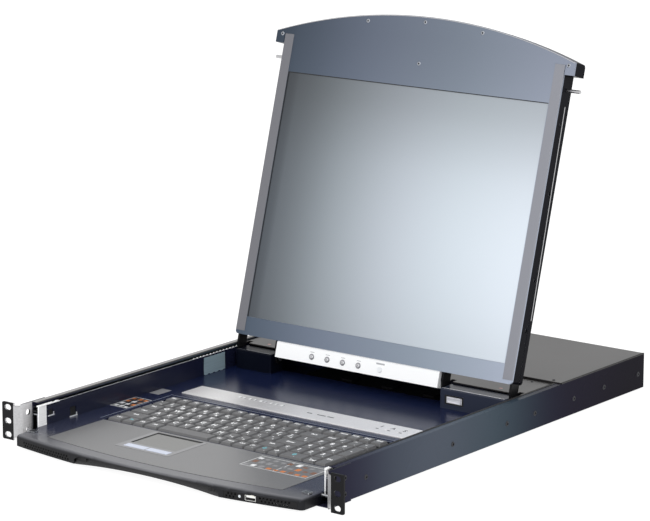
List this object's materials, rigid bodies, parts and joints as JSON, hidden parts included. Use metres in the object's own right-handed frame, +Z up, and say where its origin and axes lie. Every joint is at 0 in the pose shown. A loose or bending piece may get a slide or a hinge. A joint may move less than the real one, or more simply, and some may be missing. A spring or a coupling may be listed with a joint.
{
  "type": "rackmount lcd console drawer",
  "caption": "One-unit 19-inch rack drawer with a fold-up LCD screen, keyboard and touchpad on telescopic slides.",
  "frame": {"origin": "centre of the rack-ear slot pattern, on the rear face of the ears where they meet the rack rails", "axes": "+Z up, +Y towards the back of the rack, +X to the right seen from the front"},
  "size_m": [0.4826, 0.6742, 0.4465],
  "materials": {
    "slate_paint": "satin",
    "navy_paint": "gloss",
    "zinc_steel": "satin",
    "ear_black": "satin",
    "cover_grey": "satin",
    "bezel_metallic": "satin",
    "shell_black": "matte",
    "silver_trim": "satin",
    "screen_glass": "gloss",
    "palm_grey": "satin",
    "bar_white": "gloss",
    "button_silver": "satin",
    "key_dark": "matte",
    "frame_black": "matte",
    "pad_grey": "matte",
    "pad_button": "gloss",
    "chrome_pin": "polished",
    "board_green": "satin",
    "lamp_clear": "gloss"
  },
  "bodies": {
    "chassis": {"chassis_base": "slate_paint", "rear_panel": "slate_paint", "rear_top_cover": "slate_paint", "rack_ear_left": "ear_black", "rack_ear_right": "ear_black", "chassis_screws": "frame_black", "kvm_port_sockets": "zinc_steel", "power_inlet": "frame_black", "main_board": "board_green", "power_supply": "zinc_steel", "slide_outer_left": "zinc_steel", "slide_outer_right": "zinc_steel"},
    "switch_rocker": {"power_switch": "frame_black"},
    "middle_left": {"slide_middle_left": "zinc_steel"},
    "middle_right": {"slide_middle_right": "zinc_steel"},
    "outer_cages": {"ball_cages_outer": "zinc_steel"},
    "inner_cages": {"ball_cages_inner": "zinc_steel"},
    "tray": {"tray_pan": "navy_paint", "slide_inner_members": "zinc_steel", "slide_front_brackets": "zinc_steel", "keyboard_deck": "navy_paint", "palm_rest": "palm_grey", "grip_insert": "frame_black", "front_grilles": "frame_black", "front_usb_port": "zinc_steel", "power_led": "lamp_clear", "keyboard_frame": "frame_black", "keycaps": "key_dark", "touchpad_frame": "pad_grey", "touchpad_pad": "pad_grey", "label_strip": "silver_trim", "hinge_cover_left": "navy_paint", "hinge_cover_right": "navy_paint", "service_port": "silver_trim", "friction_hinges": "zinc_steel", "tray_rear_cover": "cover_grey", "controller_board": "board_green"},
    "catch_left": {"release_catch_left": "button_silver"},
    "catch_right": {"release_catch_right": "button_silver"},
    "space_key": {"key_space": "key_dark"},
    "enter_key": {"key_enter": "key_dark"},
    "pad_button_left": {"touchpad_button_left": "pad_button"},
    "pad_button_right": {"touchpad_button_right": "pad_button"},
    "screen": {"lcd_bezel": "bezel_metallic", "lcd_frame": "shell_black", "lcd_rear_shell": "shell_black", "lcd_side_strips": "silver_trim", "lcd_glass": "screen_glass", "lcd_panel": "shell_black", "lcd_screws": "zinc_steel", "control_bar": "bar_white", "hinge_arms": "ear_black", "hinge_shafts": "zinc_steel"},
    "pin_left": {"lock_pin_left": "chrome_pin"},
    "pin_right": {"lock_pin_right": "chrome_pin"},
    "menu_1": {"menu_button_1": "button_silver"},
    "menu_2": {"menu_button_2": "button_silver"},
    "menu_3": {"menu_button_3": "button_silver"},
    "menu_4": {"menu_button_4": "button_silver"},
    "menu_5": {"menu_button_5": "button_silver"}
  },
  "joints": [
    {"name": "tray_slide", "type": "slide", "parent": "chassis", "child": "tray", "axis": [0, -1, 0], "range_m": [0, 0.4]},
    {"name": "middle_left_slide", "type": "slide", "parent": "chassis", "child": "middle_left", "axis": [0, -1, 0], "range_m": [0, 0.2]},
    {"name": "middle_right_slide", "type": "slide", "parent": "chassis", "child": "middle_right", "axis": [0, -1, 0], "range_m": [0, 0.2]},
    {"name": "outer_cage_slide", "type": "slide", "parent": "chassis", "child": "outer_cages", "axis": [0, -1, 0], "range_m": [0, 0.1]},
    {"name": "inner_cage_slide", "type": "slide", "parent": "chassis", "child": "inner_cages", "axis": [0, -1, 0], "range_m": [0, 0.3]},
    {"name": "lcd_hinge", "type": "hinge", "parent": "tray", "child": "screen", "pos_m": [0, 0.3735, 0.01095], "axis": [1, 0, 0], "range_deg": [-14.25, 105.75]},
    {"name": "switch_rock", "type": "hinge", "parent": "chassis", "child": "switch_rocker", "pos_m": [0.19, 0.6247, -0.004], "axis": [1, 0, 0], "range_deg": [-16, 0]},
    {"name": "catch_left_slide", "type": "slide", "parent": "tray", "child": "catch_left", "axis": [-1, 0, 0], "range_m": [0, 0.0035]},
    {"name": "pin_left_slide", "type": "slide", "parent": "screen", "child": "pin_left", "axis": [1, 0, 0], "range_m": [0, 0.01], "stiffness_N_per_m": 200, "springref_m": -0.004},
    {"name": "catch_right_slide", "type": "slide", "parent": "tray", "child": "catch_right", "axis": [1, 0, 0], "range_m": [0, 0.0035]},
    {"name": "pin_right_slide", "type": "slide", "parent": "screen", "child": "pin_right", "axis": [-1, 0, 0], "range_m": [0, 0.01], "stiffness_N_per_m": 200, "springref_m": -0.004},
    {"name": "space_press", "type": "slide", "parent": "tray", "child": "space_key", "axis": [0, 0, -1], "range_m": [0, 0.002], "stiffness_N_per_m": 150, "springref_m": -0.0015},
    {"name": "enter_press", "type": "slide", "parent": "tray", "child": "enter_key", "axis": [0, 0, -1], "range_m": [0, 0.002], "stiffness_N_per_m": 150, "springref_m": -0.0015},
    {"name": "pad_left_press", "type": "slide", "parent": "tray", "child": "pad_button_left", "axis": [0, 0, -1], "range_m": [0, 0.0007], "stiffness_N_per_m": 300, "springref_m": -0.001},
    {"name": "pad_right_press", "type": "slide", "parent": "tray", "child": "pad_button_right", "axis": [0, 0, -1], "range_m": [0, 0.0007], "stiffness_N_per_m": 300, "springref_m": -0.001},
    {"name": "menu_1_press", "type": "slide", "parent": "screen", "child": "menu_1", "axis": [0, 0.9625, -0.2714], "range_m": [0, 0.0006], "stiffness_N_per_m": 300, "springref_m": -0.001},
    {"name": "menu_2_press", "type": "slide", "parent": "screen", "child": "menu_2", "axis": [0, 0.9625, -0.2714], "range_m": [0, 0.0006], "stiffness_N_per_m": 300, "springref_m": -0.001},
    {"name": "menu_3_press", "type": "slide", "parent": "screen", "child": "menu_3", "axis": [0, 0.9625, -0.2714], "range_m": [0, 0.0006], "stiffness_N_per_m": 300, "springref_m": -0.001},
    {"name": "menu_4_press", "type": "slide", "parent": "screen", "child": "menu_4", "axis": [0, 0.9625, -0.2714], "range_m": [0, 0.0006], "stiffness_N_per_m": 300, "springref_m": -0.001},
    {"name": "menu_5_press", "type": "slide", "parent": "screen", "child": "menu_5", "axis": [0, 0.9625, -0.2714], "range_m": [0, 0.0006], "stiffness_N_per_m": 300, "springref_m": -0.001}
  ],
  "couplings": [
    {"joint": "middle_left_slide", "follows": "tray_slide", "ratio": 0.5},
    {"joint": "middle_right_slide", "follows": "tray_slide", "ratio": 0.5},
    {"joint": "outer_cage_slide", "follows": "tray_slide", "ratio": 0.25},
    {"joint": "inner_cage_slide", "follows": "tray_slide", "ratio": 0.75}
  ]
}
